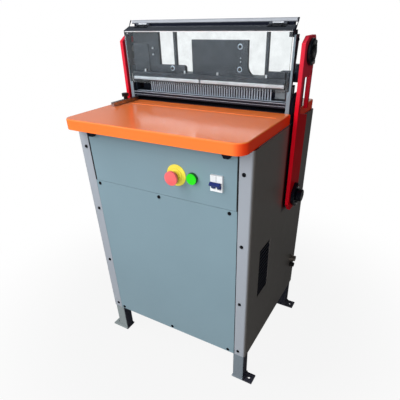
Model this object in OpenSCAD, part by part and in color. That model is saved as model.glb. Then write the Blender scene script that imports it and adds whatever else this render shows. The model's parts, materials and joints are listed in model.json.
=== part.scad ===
// Electric punch for binding work: cabinet on legs, feed table, punch ram pulled down by two side arms.
// X runs to the right, Y to the back and Z up. The origin is on the floor, midway between the foot bolts.

/* [Cabinet] */
// Width over the side panels
cab_w = 590; // [570:1:620]
// Depth over the front and rear panels
cab_d = 500; // [490:1:540]
// Height of the lower panel edge above the floor
cab_bottom = 128; // [110:1:150]
// Height of the frame's top, where the tables rest
cab_top = 855; // [850:1:870]
// Height of the joint between control panel and access panel
split_z = 685; // [680:1:690]
// Sheet thickness of the panels
sheet_t = 2; // [1.5:0.5:2.5]
// Width of the flanges bent from the side panels
flange_w = 40; // [30:1:44]
// Outer bend radius of the flanges
bend_r = 9; // [4:0.5:10]
// Size of the square frame tube
tube = 40; // [36:1:42]
// Wall of the frame tube
tube_wall = 2.5; // [2:0.5:4]
// Length of a foot plate
foot_len = 75; // [70:1:85]
// Thickness of a foot plate
foot_t = 6; // [4:1:10]
// Radius of a floor bolt hole
foot_hole_r = 5; // [4:0.5:6]

/* [Tables] */
// Width of the feed table
table_w = 580; // [576:1:590]
// Overhang of the feed table in front of the cabinet
table_reach = 52; // [40:1:70]
// Height of the table's lip
lip_h = 30; // [26:1:36]
// Sheet thickness of the tables
table_t = 3; // [2:0.5:4]
// Corner radius of the feed table
table_r = 30; // [15:1:40]
// Left end of the guide slot
slot_x0 = -272; // [-276:1:-270]
// Right end of the guide slot
slot_x1 = 270; // [268:1:276]
// Distance of the guide slot from the table's rear edge
slot_back = 63; // [55:1:75]
// Width of the guide slot
slot_w = 7; // [7:0.5:8]

/* [Punch unit] */
// Half width over the unit's side plates
unit_half = 285; // [283:1:288]
// Thickness of a side plate
plate_t = 12; // [10:1:14]
// Height of the paper throat
throat_h = 12; // [9:1:14]
// Depth of the paper throat behind the die's front edge
throat_depth = 63; // [58:1:66]
// Thickness of the die plate
die_t = 6; // [5:1:8]
// Thickness of the guide plate over the throat
guide_t = 14; // [12:1:16]
// Number of punch pins
pin_count = 52; // [20:2:52]
// Spacing of the punch pins
pin_pitch = 8.47; // [8:0.01:8.5]
// Radius of a punch pin
pin_r = 2; // [1.5:0.1:2.2]
// Stroke of the ram
stroke = 18; // [16:1:20]

/* [Guard] */
// Front face of the clear guard, measured from the cabinet's centre
guard_y = 5; // [4:0.5:7]
// Sheet thickness of the guard
guard_t = 4; // [3:0.5:5]
// Height of the guard's lower edge
guard_bottom = 941; // [930:1:948]
// Height of the bend
guard_bend = 1090; // [1089:0.5:1091]
// Depth of the slope above the bend
slope_run = 28; // [27:1:29]
// Rise of the slope above the bend
slope_rise = 11; // [10.5:0.5:11.5]

/* [Arms] */
// Thickness of an arm
arm_t = 12; // [10:1:14]
// Gap between an arm and the side panel
arm_gap = 4.5; // [3.5:0.1:5]
// Front edge of the arms
arm_front = 16; // [14:1:20]
// Width of an arm
arm_w = 98; // [96:1:100]
// Height of an arm's lower end
arm_bottom = 572; // [565:1:576]
// Height of an arm's upper end
arm_top = 1076; // [1072:1:1078]
// Height of the upper pivot with the ram raised
pivot_z = 1037; // [1034:1:1038]
// Height of the crank pin with the ram raised
crank_z = 622; // [620:1:624]
// Depth of both pivots
pivot_y = 62; // [61:1:63]

/* [Controls] */
// Place of the emergency stop across the panel
stop_x = 65; // [50:1:75]
// Place of the lamp across the panel
lamp_x = 118; // [112:1:130]
// Place of the breaker across the panel
breaker_x = 193; // [180:1:210]
// Height of the row of controls
controls_z = 756; // [752:1:758]

/* [Hidden] */
$fn = 64;

// Paint and material colours
paint_blue = [0.48, 0.58, 0.63];
paint_grey = [0.68, 0.71, 0.75];
paint_slate = [0.27, 0.32, 0.36];
paint_orange = [0.95, 0.42, 0.13];
paint_red = [0.80, 0.08, 0.13];
black = [0.06, 0.06, 0.07];
steel = [0.72, 0.73, 0.75];
bright = [0.80, 0.82, 0.85];

// Clearances: running fit of shafts, fixed fit of hubs, free gap of pins in their plates
run_gap = 0.05;
hub_gap = 0.02;
pin_gap = 0.3;
cut = 1;

// Cabinet stations
front_y = -cab_d / 2;
side_x = cab_w / 2;
post_y0 = cab_d / 2 - sheet_t - tube;
post_y1 = cab_d / 2 - sheet_t;
post_gap = 3;
post_x1 = side_x - sheet_t - post_gap;
post_x0 = post_x1 - tube;
post_r = max(4, bend_r - sheet_t - post_gap);
foot_hole_x = (post_x1 + post_x0 + foot_len) / 2;
panel_half = side_x - flange_w - 0.5;
table_top = cab_top + lip_h;

// Crank and shaft: the pin stands above the shaft by half the stroke when the ram is up
crank_e = stroke / 2;
crank_r = 10;
shaft_r = 15;
shaft_z = crank_z - crank_e;
shaft_end = side_x + 1;
shaft_hole_r = 30;
shaft_rail_z = shaft_z - 28;

// Guard line, offset inwards by d: the bend, then the upper edge
slope_dir = [slope_run, slope_rise] / norm([slope_run, slope_rise]);
slope_in = [slope_dir.y, -slope_dir.x];
guard_edge = [guard_y + slope_run, guard_bend + slope_rise];
guard_gap = 3;
function bend_at(d) = [guard_y + d, guard_bend - d * (1 - slope_dir.y) / slope_dir.x];
function edge_at(d) = guard_edge + d * slope_in;
function slope_at(y, d) = bend_at(d).y + (y - bend_at(d).x) * slope_rise / slope_run;

// Punch unit stations, front to back and bottom to top
face_y = guard_y + guard_t + guard_gap;
die_y0 = face_y + 1;
bed_y1 = 96;
stop_y0 = die_y0 + throat_depth;
stop_y1 = stop_y0 + 8;
plate_half = unit_half - plate_t;
guard_half = unit_half - 8;
pin_y = 42;
guide_z = table_top + throat_h;
guide_top = guide_z + guide_t;
shield_top = 950;
tip_z = guide_z + 1.5;
retainer_z = 944;
beam_z = 960;
beam_top = 974;
shoulder_top = 996;
beam_half = plate_half - 8;
ram_y0 = 22;
ram_t = 12;
lug_x = unit_half + 7;
head_x = unit_half - 6;
step_z = 942;
side_top = 1080;
tall_top = 1087.5;
center_top = 1066;
roof_z = 1089;
roof_y = 60;
rail_z = 1107;
rail_h = 10;

// Guard hinges
hinge_y = guard_edge.x + 6;
hinge_z = guard_edge.y + 3.5;
hinge_x = 225;
knuckle_r = 4.5;
hinge_pin_r = 2.5;
leaf_half = 25;
knuckle_half = 15.5;

// Arms
arm_x0 = side_x + arm_gap;
arm_x1 = arm_x0 + arm_t;
arm_back = arm_front + arm_w;
top_flange_t = 10;
low_flange_t = 12;
crank_play_y = crank_r + crank_e + 0.6;
crank_play_z = crank_r + 2.5;

// Belt drive
drive_z = 330;
pulley_x0 = 40;
pulley_x1 = 64;
belt_half = 6.5;
belt_t = 8;
driven_r = 86;
drive_r = 30;
shelf_z = cab_bottom + tube;

// Side guide
guide_x0 = -265;
guide_x1 = -253;
guide_x = (guide_x0 + guide_x1) / 2;
guide_h = 12;
stud_y = face_y - slot_back;
stud_r = 3;

// Fittings on the right panel
vent_y = [-170, -84];
vent_z = [341, 524];
socket_at = [190, 282];
gland_at = [190, 251];

// Block between two opposite corners
module block(lo, hi) { translate(lo) cube(hi - lo); }

// Round bar along X at (y, z)
module rod_x(r, x0, x1, at) {
    translate([x0, at[0], at[1]]) rotate([0, 90, 0]) cylinder(r = r, h = x1 - x0);
}

// Round bar along Y at (x, z)
module rod_y(r, y0, y1, at) {
    translate([at[0], y0, at[1]]) rotate([-90, 0, 0]) cylinder(r = r, h = y1 - y0);
}

// Outline drawn in (y, z), given a thickness along X
module slab_x(x0, x1) { translate([x0, 0, 0]) rotate([90, 0, 90]) linear_extrude(x1 - x0) children(); }

// Outline drawn in (x, z), given a thickness along Y
module slab_y(y0, y1) { translate([0, y1, 0]) rotate([90, 0, 0]) linear_extrude(y1 - y0) children(); }

// A shape and its mirror image across the middle plane
module both_sides() {
    children();
    mirror([1, 0, 0]) children();
}

// Square tube along X, open at both ends
module tube_x(x0, x1, y0, z0) {
    w = tube_wall;
    difference() {
        block([x0, y0, z0], [x1, y0 + tube, z0 + tube]);
        block([x0 - cut, y0 + w, z0 + w], [x1 + cut, y0 + tube - w, z0 + tube - w]);
    }
}

// Square tube along Y, open at both ends
module tube_y(x0, y0, y1, z0) {
    w = tube_wall;
    difference() {
        block([x0, y0, z0], [x0 + tube, y1, z0 + tube]);
        block([x0 + w, y0 - cut, z0 + w], [x0 + tube - w, y1 + cut, z0 + tube - w]);
    }
}

// Corner post with its foot plate, welded into one leg
module leg() {
    w = tube_wall;
    difference() {
        union() {
            translate([post_x0 + tube / 2, post_y0 + tube / 2]) linear_extrude(cab_top) {
                square([tube, tube - 2 * post_r], center = true);
                square([tube - 2 * post_r, tube], center = true);
                for (x = [-1, 1], y = [-1, 1]) translate((tube / 2 - post_r) * [x, y]) circle(post_r);
            }
            block([post_x0, post_y0, 0], [post_x0 + foot_len, post_y1, foot_t]);
        }
        block([post_x0 + w, post_y0 + w, foot_t], [post_x1 - w, post_y1 - w, cab_top + cut]);
        translate([foot_hole_x, (post_y0 + post_y1) / 2, -cut])
            cylinder(r = foot_hole_r, h = foot_t + 2 * cut);
    }
}

module legs() {
    color(paint_grey) both_sides() {
        leg();
        mirror([0, 1, 0]) leg();
    }
}

module cross_rails() {
    color(paint_grey) {
        for (z = [cab_bottom, split_z - tube / 2, cab_top - tube]) tube_x(-post_x0, post_x0, -post_y1, z);
        for (z = [cab_bottom, cab_top - tube]) tube_x(-post_x0, post_x0, post_y0, z);
    }
}

module side_rails() {
    color(paint_grey) both_sides() {
        for (z = [shaft_rail_z - tube, cab_top - tube]) tube_y(post_x0, -post_y0, post_y0, z);
    }
}

// Rectangle with two round corners on its left edge
module soft_edge(w, h, r) {
    translate([r, -h / 2]) square([w - r, h]);
    translate([0, r - h / 2]) square([r, h - 2 * r]);
    for (s = [-1, 1]) translate([r, s * (h / 2 - r)]) circle(r);
}

// Sheet bent back into a flange at the front and at the rear
module side_sheet() {
    difference() {
        translate([side_x, 0, cab_bottom]) linear_extrude(cab_top - cab_bottom) mirror([1, 0]) difference() {
            soft_edge(flange_w, cab_d, bend_r);
            translate([sheet_t, 0]) soft_edge(flange_w, cab_d - 2 * sheet_t, bend_r - sheet_t);
        }
        rod_x(shaft_hole_r, side_x - 2 * sheet_t, side_x + cut, [pivot_y, shaft_z]);
    }
}

module side_panel_left() { color(paint_grey) mirror([1, 0, 0]) side_sheet(); }

module side_panel_right() {
    color(paint_grey) difference() {
        side_sheet();
        block([side_x - 2 * sheet_t, vent_y[0], vent_z[0]], [side_x + cut, vent_y[1], vent_z[1]]);
        rod_x(8.8, side_x - 2 * sheet_t, side_x + cut, socket_at);
        rod_x(7.8, side_x - 2 * sheet_t, side_x + cut, gland_at);
    }
}

module control_panel() {
    half = panel_half - 4;
    color(paint_blue) difference() {
        block([-half, front_y, split_z + 0.5], [half, front_y + sheet_t, cab_top - 1]);
        for (x = [stop_x, lamp_x]) rod_y(11.2, front_y - cut, front_y + 2 * sheet_t, [x, controls_z]);
        block([breaker_x - 18.3, front_y - cut, controls_z - 22.8],
              [breaker_x + 18.3, front_y + 2 * sheet_t, controls_z + 22.8]);
    }
}

module access_panel() {
    color(paint_blue)
        block([-panel_half, front_y, cab_bottom], [panel_half, front_y + sheet_t, split_z - 0.5]);
}

module rear_panel() {
    back_y = cab_d / 2;
    color(paint_blue) block([-panel_half, back_y - sheet_t, cab_bottom], [panel_half, back_y, cab_top - 1]);
}

// Louvred plate behind the vent opening
module vent_grille() {
    rim = 8;
    bars = 13;
    pitch = (vent_z[1] - vent_z[0]) / bars;
    x1 = side_x - sheet_t;
    color(black) difference() {
        block([x1 - 1.5, vent_y[0] - rim, vent_z[0] - rim], [x1, vent_y[1] + rim, vent_z[1] + rim]);
        for (i = [0 : bars - 1]) {
            z = vent_z[0] + (i + 0.25) * pitch;
            block([x1 - 2 * cut - 1, vent_y[0] + 3, z], [x1 + cut, vent_y[1] - 3, z + pitch / 2]);
        }
    }
}

// Table outline with round front corners
module table_outline(w, y0, y1, r) {
    translate([-w / 2, y0 + r]) square([w, y1 - y0 - r]);
    translate([r - w / 2, y0]) square([w - 2 * r, r]);
    for (s = [-1, 1]) translate([s * (w / 2 - r), y0 + r]) circle(r);
}

// Shallow tray turned upside down, open at its rear edge
module table_pan(y0, y1, r) {
    difference() {
        translate([0, 0, cab_top]) linear_extrude(lip_h) table_outline(table_w, y0, y1, r);
        translate([0, 0, cab_top - cut]) linear_extrude(lip_h - table_t + cut)
            table_outline(table_w - 2 * table_t, y0 + table_t, y1 + cut, r - table_t);
    }
}

// Feed table with the slot along which the side guide is set
module front_table() {
    r = slot_w / 2;
    color(paint_orange) difference() {
        table_pan(front_y - table_reach, face_y, table_r);
        translate([0, stud_y, table_top - 2 * table_t]) linear_extrude(3 * table_t) {
            translate([slot_x0 + r, -r]) square([slot_x1 - slot_x0 - slot_w, slot_w]);
            for (x = [slot_x0 + r, slot_x1 - r]) translate([x, 0]) circle(r);
        }
    }
}

module rear_table() {
    color(paint_orange) mirror([0, 1, 0]) table_pan(-cab_d / 2, -bed_y1 - 4, 10);
}

// Tapered brackets on the control panel that carry the feed table
module table_brackets() {
    color(black) for (x = [-227, 225]) translate([x, 0]) slab_y(front_y - 14, front_y) polygon([
        [-7, 830], [7, 830], [16, 845], [16, table_top - table_t], [-16, table_top - table_t], [-16, 845]
    ]);
}

// Button head on the front face, its flat side at y
module button_head(x, y, z) {
    rod_y(5.6, y - 1.2, y, [x, z]);
    rod_y(4.2, y - 2.8, y - 1.2, [x, z]);
}

module panel_screws() {
    color(black) {
        for (s = [-1, 1], z = [148, 363, 578, 792]) button_head(s * (side_x - 26), front_y, z);
        for (x = [-240, -5, 230], z = [cab_bottom + 10, split_z - 10]) button_head(x, front_y, z);
    }
}

// Side plate of the punch unit: a thick foot beside the throat, and a thin head behind the guard
module side_plate() {
    neck_y = 23;
    color(paint_slate) {
        slab_x(plate_half, unit_half) polygon([
            [face_y, cab_top], [face_y, step_z], [neck_y, step_z], [neck_y, 930], [40, guide_top],
            [bed_y1, guide_top], [bed_y1, cab_top]
        ]);
        slab_x(head_x, unit_half) polygon([
            [face_y, step_z - cut], [face_y, side_top], [42, side_top], [34, 1020], [neck_y, 957],
            [neck_y, step_z - cut]
        ]);
    }
}

module punch_side_right() { side_plate(); }

module punch_side_left() { mirror([1, 0, 0]) side_plate(); }

// Foot brackets outside the side plates, with round tops and a taller cheek at the rear
module side_brackets() {
    y0 = face_y + 10;
    r = 30;
    top = 936;
    cheek_y = [68, 118];
    cheek_r = 14;
    cheek_top = 978;
    color(black) both_sides() slab_x(unit_half, unit_half + 6) {
        translate([y0, cab_top]) square([bed_y1 - y0, top - r - cab_top]);
        translate([y0 + r, top - r]) square([bed_y1 - y0 - 2 * r, r]);
        for (y = [y0 + r, bed_y1 - r]) translate([y, top - r]) circle(r);
        translate([cheek_y[0], table_top + 2]) {
            square([cheek_y[1] - cheek_y[0], cheek_top - cheek_r - table_top - 2]);
        }
        translate([cheek_y[0] + cheek_r, cheek_top - cheek_r]) circle(cheek_r);
        translate([cheek_y[0] + cheek_r, cheek_top - cheek_r]) {
            square([cheek_y[1] - cheek_y[0] - cheek_r, cheek_r]);
        }
    }
}

// Places of the punch pins along X
function pin_x(i) = (i - (pin_count - 1) / 2) * pin_pitch;

module pin_row(r, z0, z1) {
    for (i = [0 : pin_count - 1]) translate([pin_x(i), pin_y, z0]) cylinder(r = r, h = z1 - z0, $fn = 24);
}

module die_bed() {
    chute = pin_x(pin_count - 1) + 6;
    color(paint_slate) difference() {
        block([-plate_half, die_y0, cab_top], [plate_half, bed_y1, table_top - die_t]);
        block([-chute, pin_y - 6, cab_top - cut], [chute, pin_y + 6, table_top]);
    }
}

module die_plate() {
    color(steel) difference() {
        block([-plate_half, die_y0, table_top - die_t], [plate_half, stop_y1, table_top]);
        pin_row(pin_r + pin_gap, table_top - die_t - cut, table_top + cut);
    }
}

module guide_plate() {
    color(steel) difference() {
        block([-plate_half, die_y0, guide_z], [plate_half, stop_y0, guide_top]);
        block([-unit_half, die_y0 - cut, guide_z + 6.5], [unit_half, die_y0 + 1.5, guide_z + 8]);
        pin_row(pin_r + pin_gap, guide_z - cut, guide_top + cut);
    }
}

// Plate that stops the paper at the back of the throat, carries the guide plate and shields the pins
module throat_stop() {
    color(black) block([-plate_half, stop_y0, table_top], [plate_half, stop_y1, shield_top]);
}

// Strips that guide the ends of the ram beam
module ram_gibs() {
    x0 = beam_half + 0.3;
    y = [ram_y0 + 2, 39];
    color(steel) both_sides() {
        block([x0, y[0], guide_top + 4], [plate_half, y[1], step_z]);
        block([x0, y[0], step_z - cut], [head_x, y[1], 990]);
    }
}

// Beam under the slope of the guard; a tongue and an end plate join it to each side plate
module top_beam() {
    head = guard_t + guard_gap + 1;
    nose_y = 27;
    sill_z = hinge_z - knuckle_r - 1.5;
    half = beam_half + 1;
    end_x = guard_half + 0.5;
    tongue_z = roof_z - 15;
    color(black) {
        slab_x(-half, half) polygon([
            [nose_y, roof_z], [nose_y, slope_at(nose_y, head)], edge_at(head), [edge_at(head).x, sill_z],
            [hinge_y + 6, sill_z], [hinge_y + 6, rail_z], [roof_y, rail_z], [roof_y, roof_z]
        ]);
        both_sides() {
            block([half - 3, nose_y - 4, tongue_z], [head_x, nose_y + 14, roof_z + cut]);
            slab_x(end_x, head_x) polygon([
                [guard_y, side_top], [guard_y, guard_bend], guard_edge, [43, rail_z + rail_h],
                [48, rail_z + rail_h], [17, side_top], [nose_y, side_top - 1], [nose_y, tongue_z],
                [face_y, tongue_z]
            ]);
        }
    }
}

// Rail on the beam, with two knuckles for each hinge
module hinge_rail() {
    at = [hinge_y, hinge_z];
    color(bright) {
        block([-plate_half - 1, hinge_y + 5, rail_z], [plate_half + 1, roof_y, rail_z + rail_h]);
        both_sides() for (s = [-1, 1]) {
            x0 = hinge_x + (s < 0 ? -leaf_half : knuckle_half + 0.5);
            x1 = hinge_x + (s < 0 ? -knuckle_half - 0.5 : leaf_half);
            difference() {
                union() {
                    rod_x(knuckle_r, x0, x1, at);
                    block([x0, hinge_y, hinge_z - 3.5], [x1, hinge_y + 6, hinge_z + knuckle_r]);
                }
                rod_x(hinge_pin_r, x0 - cut, x1 + cut, at);
            }
        }
    }
}

module hinge_pins() {
    color(steel) both_sides() {
        rod_x(hinge_pin_r, hinge_x - leaf_half, hinge_x + leaf_half, [hinge_y, hinge_z]);
    }
}

// Moving hinge leaves, each a knuckle and a plate on the guard's slope, and the dark strip under the sheet
module hinge_leaves() {
    up = 5;
    wide = 3;
    down = 12;
    t = 2;
    at = [hinge_y, hinge_z];
    color(bright) both_sides() difference() {
        union() {
            rod_x(knuckle_r, hinge_x - knuckle_half, hinge_x + knuckle_half, at);
            slab_x(hinge_x - knuckle_half, hinge_x + knuckle_half) slope_strip(-wide - 1, up, 0, t);
            slab_x(hinge_x - leaf_half, hinge_x + leaf_half) slope_strip(-down, -wide, 0, t);
        }
        rod_x(hinge_pin_r + run_gap, hinge_x - leaf_half, hinge_x + leaf_half, at);
    }
    color(black) slab_x(-guard_half, guard_half) {
        slope_strip(3 - slope_run, -2, -guard_t - 1.4, -guard_t - 0.2);
    }
}

// Strip along the guard's slope: distances s from its upper edge, heights t over its outer face
module slope_strip(s0, s1, t0, t1) {
    corners = [[s0, t0], [s1, t0], [s1, t1], [s0, t1]];
    polygon([for (p = corners) guard_edge + p[0] * slope_dir - p[1] * slope_in]);
}

// Clear sheet with one bend, hung from its upper edge
module guard_cover() {
    color([0.80, 0.86, 0.88, 0.35]) slab_x(-guard_half, guard_half) polygon([
        [guard_y, guard_bottom], bend_at(0), edge_at(0), edge_at(guard_t), bend_at(guard_t),
        [guard_y + guard_t, guard_bottom]
    ]);
}

module ram_beam() {
    color(paint_slate) block([-beam_half, ram_y0 - 8, beam_z], [beam_half, 66, beam_top]);
}

module pin_retainer() {
    color(paint_slate) block([4 - beam_half, ram_y0 + 2, retainer_z], [beam_half - 4, 62, beam_z]);
}

module punch_pins() { color(steel) pin_row(pin_r, tip_z, retainer_z); }

// Pressing bars on the retainer's front, parted near the middle
module press_bars() {
    color(bright) for (x = [[1 - beam_half, -10], [-4, beam_half - 1]]) {
        block([x[0], face_y, retainer_z + 6], [x[1], ram_y0 + 2, retainer_z + 15]);
    }
}

// Tall plate with a recess beside its front pad, and a low shoulder on its right
module ram_plate_left() {
    x0 = 4 - beam_half;
    x1 = -158;
    pad_x1 = -201;
    pad_top = 1053;
    bar_x0 = -190;
    recess = 4;
    shoulder_x = -62;
    r = 9;
    color(paint_slate) difference() {
        slab_y(ram_y0, ram_y0 + ram_t) {
            translate([x0, beam_top]) square([x1 - x0, tall_top - beam_top]);
            translate([x1, beam_top]) square([shoulder_x - r - x1, shoulder_top - beam_top]);
            translate([shoulder_x - r, beam_top]) square([r, shoulder_top - r - beam_top]);
            translate([shoulder_x - r, shoulder_top - r]) circle(r);
        }
        block([pad_x1, ram_y0 - cut, beam_top - cut], [bar_x0, ram_y0 + recess, tall_top + cut]);
        block([x0 - cut, ram_y0 - cut, pad_top], [bar_x0, ram_y0 + recess, tall_top + cut]);
    }
}

// Wide plate with a round foot at its right edge
module ram_plate_center() {
    x0 = -36;
    x1 = 147;
    foot = 30;
    color(paint_slate) slab_y(ram_y0, ram_y0 + ram_t) {
        translate([x0, beam_top]) square([x1 - x0, center_top - beam_top]);
        translate([x1, beam_top]) difference() {
            square(foot);
            translate([foot, foot]) circle(foot);
        }
    }
}

// Slim posts: the left one on the shoulder, the right one beside a low end plate
module ram_posts() {
    w = 8;
    y1 = ram_y0 + ram_t;
    right_x = 200.5;
    color(paint_slate) {
        block([-102, ram_y0, shoulder_top], [w - 102, y1, tall_top]);
        block([right_x, ram_y0, beam_top], [right_x + w, y1, tall_top]);
        block([right_x + w - cut, ram_y0, beam_top], [beam_half - 4, y1, beam_top + 16]);
    }
}

// Brackets from the beam's ends, behind the side plates, to a lug against each arm
module ram_lugs() {
    r = 18;
    y = [pivot_y - r, pivot_y + 2];
    z = [963, 1008];
    color(paint_slate) both_sides() difference() {
        union() {
            block([240, y[0], beam_top], [271, y[1], beam_top + 16]);
            block([270, y[0], z[0]], [arm_x0, y[1], z[1]]);
            slab_x(lug_x, arm_x0) {
                translate([pivot_y - r, z[0]]) square([2 * r, pivot_z - z[0]]);
                translate([pivot_y, pivot_z]) circle(r);
            }
        }
        rod_x(crank_r + hub_gap, lug_x - cut, arm_x0 + cut, [pivot_y, pivot_z]);
    }
}

// Short axles that join the lugs to the arms
module stub_axles() {
    color(steel) both_sides() rod_x(crank_r, lug_x - 2, arm_x1 + top_flange_t + 6, [pivot_y, pivot_z]);
}

// Level slot in which the crank pin works, in (y, z)
module crank_slot() {
    run = crank_play_y - crank_play_z;
    translate([pivot_y, crank_z]) {
        square([2 * run, 2 * crank_play_z], center = true);
        for (s = [-1, 1]) translate([s * run, 0]) circle(crank_play_z);
    }
}

// Arm with a window that opens to the rear at its lower end
module arm() {
    front_bar = 19;
    rear_bar = 16;
    win_top = 976;
    win_end = 885;
    color(paint_red) slab_x(arm_x0, arm_x1) difference() {
        polygon([
            [arm_front, arm_bottom + 27], [arm_front, arm_top - 16], [arm_front + 27, arm_top],
            [arm_back - 12, arm_top], [arm_back, arm_top - 14], [arm_back - 8, arm_bottom + 25],
            [arm_back - 18, arm_bottom], [arm_front + 26, arm_bottom]
        ]);
        polygon([
            [arm_front + front_bar, win_top], [arm_back - rear_bar, win_top], [arm_back - rear_bar, win_end],
            [arm_back + cut, win_end], [arm_back + cut, win_end - 20], [arm_front + front_bar, win_end - 1]
        ]);
        translate([pivot_y, pivot_z]) circle(crank_r + hub_gap);
        crank_slot();
    }
}

module arm_right() { arm(); }

module arm_left() { mirror([1, 0, 0]) arm(); }

// Oval flange in (y, z): a round housing with two ears above each other
module oval(z, r, ear_r, ear_z) {
    hull() for (s = [-1, 0, 1]) {
        translate([pivot_y, z + s * ear_z]) circle(s == 0 ? r : ear_r, $fn = 32);
    }
}

module arm_bearings() {
    color(black) both_sides() {
        difference() {
            slab_x(arm_x1, arm_x1 + top_flange_t) oval(pivot_z, 32, 10, 23);
            rod_x(crank_r + hub_gap, arm_x1 - cut, arm_x1 + top_flange_t + cut, [pivot_y, pivot_z]);
        }
        difference() {
            slab_x(arm_x1, arm_x1 + low_flange_t) oval(crank_z, 35, 12, 29);
            slab_x(arm_x1 - cut, arm_x1 + low_flange_t + cut) crank_slot();
        }
    }
}

// Hexagon head along X or Y
module hex_x(x, y, z) { translate([x, y, z]) rotate([0, 90, 0]) cylinder(r = 5.5, h = 4.5, $fn = 6); }

module hex_y(x, y, z) { translate([x, y - 5, z]) rotate([-90, 0, 0]) cylinder(r = 8.5, h = 5, $fn = 6); }

module ram_bolts() {
    color(bright) {
        both_sides() {
            for (s = [-1, 1]) hex_x(arm_x1 + top_flange_t, pivot_y, pivot_z + s * 23);
            for (s = [-1, 1]) hex_x(arm_x1 + low_flange_t, pivot_y, crank_z + s * 29);
        }
        for (z = [center_top - 16, beam_top + 18]) hex_y(124, ram_y0, z);
        hex_y(-110, ram_y0, shoulder_top - 9);
        for (x = [-216, -63, 53, 208]) translate([x, ram_y0 - 4, beam_top]) cylinder(r = 3.5, h = 8);
    }
}

// Main shaft with an eccentric pin turned on each end
module main_shaft() {
    pin_end = arm_x1 + low_flange_t + 15.5;
    color(steel) {
        rod_x(shaft_r, -shaft_end, shaft_end, [pivot_y, shaft_z]);
        both_sides() rod_x(crank_r, shaft_end - 6, pin_end, [pivot_y, crank_z]);
    }
}

// Caps on the crank pins
module crank_caps() {
    x0 = arm_x1 + low_flange_t + 0.5;
    color(black) both_sides() difference() {
        rod_x(20, x0, x0 + 17, [pivot_y, crank_z]);
        rod_x(crank_r + hub_gap, x0 - cut, x0 + 15.1, [pivot_y, crank_z]);
    }
}

module shaft_bearings() {
    x0 = post_x0 + 6;
    x1 = post_x1 - 6;
    color(black) both_sides() difference() {
        union() {
            block([x0, pivot_y - 60, shaft_rail_z], [x1, pivot_y + 60, shaft_rail_z + 12]);
            rod_x(27, x0, x1, [pivot_y, shaft_z]);
        }
        rod_x(shaft_r + run_gap, x0 - cut, x1 + cut, [pivot_y, shaft_z]);
    }
}

// Grooved wheel about X: belt seat radius seat, bore radius bore
module pulley(seat, bore, z) {
    x = (pulley_x0 + pulley_x1) / 2;
    translate([x, pivot_y, z]) rotate([0, 90, 0]) difference() {
        cylinder(r = seat + belt_t + 1, h = pulley_x1 - pulley_x0, center = true);
        difference() {
            cylinder(r = seat + belt_t + 2, h = 2 * belt_half + 1, center = true);
            cylinder(r = seat - 0.6, h = 2 * belt_half + 2, center = true);
        }
        cylinder(r = bore, h = pulley_x1 - pulley_x0 + 2 * cut, center = true);
    }
}

module driven_pulley() { color(paint_slate) pulley(driven_r, shaft_r + hub_gap, shaft_z); }

// Small pulley on the output shaft of the gear motor
module drive_pulley() {
    color(steel) {
        pulley(drive_r, crank_r - cut, drive_z);
        rod_x(crank_r, pulley_x0, pulley_x1 + 34, [pivot_y, drive_z]);
    }
}

module belt_line(extra) {
    hull() {
        translate([pivot_y, shaft_z]) circle(driven_r + extra);
        translate([pivot_y, drive_z]) circle(drive_r + extra);
    }
}

module drive_belt() {
    x = (pulley_x0 + pulley_x1) / 2;
    color(black) slab_x(x - belt_half, x + belt_half) difference() {
        belt_line(belt_t);
        belt_line(0);
    }
}

module motor_shelf() {
    color(paint_grey) block([-post_x0, -post_y1, shelf_z], [post_x0, post_y1, shelf_z + 4]);
}

// Foot-mounted gear motor: pedestal, gearbox, motor and terminal box
module gear_motor() {
    box_x0 = pulley_x1 + 6;
    box_x1 = box_x0 + 90;
    half = 45;
    at = [pivot_y, drive_z];
    color(paint_slate) difference() {
        union() {
            block([box_x0 + 10, pivot_y - half + 10, shelf_z + 4],
                  [box_x1 - 10, pivot_y + half - 10, drive_z]);
            block([box_x0, pivot_y - half, drive_z - half], [box_x1, pivot_y + half, drive_z + half]);
            rod_x(48, box_x1, box_x1 + 90, at);
            rod_x(51, box_x1 + 90, box_x1 + 115, at);
            block([box_x1 + 25, pivot_y - 20, drive_z], [box_x1 + 75, pivot_y + 20, drive_z + 66]);
        }
        rod_x(crank_r + run_gap, box_x0 - cut, box_x0 + 30, at);
    }
}

// Open bin for the punched chips, hung under the die bed
module chip_bin() {
    x = 240;
    y0 = die_y0 + 3;
    y1 = bed_y1 - 2;
    z0 = cab_top - 75;
    w = sheet_t;
    color(bright) difference() {
        block([-x, y0, z0], [x, y1, cab_top]);
        block([w - x, y0 + w, z0 + w], [x - w, y1 - w, cab_top + cut]);
    }
}

// Yellow shield with a collar round the stop's barrel
module estop_ring() {
    at = [stop_x, controls_z];
    color([0.98, 0.86, 0.12]) difference() {
        union() {
            rod_y(31, front_y - 2, front_y, at);
            rod_y(19.5, front_y - 6, front_y - 1, at);
            rod_y(15, front_y - 12, front_y - 1, at);
        }
        rod_y(11 + hub_gap, front_y - 12 - cut, front_y + cut, at);
    }
}

// Barrel and contact block of the emergency stop
module estop_switch() {
    at = [stop_x, controls_z];
    color(black) difference() {
        union() {
            rod_y(11, front_y - 11, front_y + 12, at);
            block([stop_x - 15, front_y + 12, controls_z - 20], [stop_x + 15, front_y + 50, controls_z + 20]);
        }
        rod_y(6 + run_gap, front_y - 12, front_y + 2, at);
    }
}

module estop_stem() { color(black) rod_y(6, front_y - 32, front_y - 5, [stop_x, controls_z]); }

// Mushroom head: neck, disc and shallow dome, with a blind hole for the stem
module estop_head() {
    at = [stop_x, controls_z];
    back = front_y - 18.5;
    r = 20;
    dome_r = 80;
    color([0.90, 0.10, 0.12]) difference() {
        union() {
            rod_y(13, back - 5 - cut, back, at);
            intersection() {
                translate([stop_x, back - 12 + sqrt(dome_r * dome_r - r * r), controls_z]) sphere(r = dome_r);
                rod_y(r, back - 20, back - 5, at);
            }
        }
        rod_y(6 + run_gap, front_y - 32.2, back + cut, at);
    }
}

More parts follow.
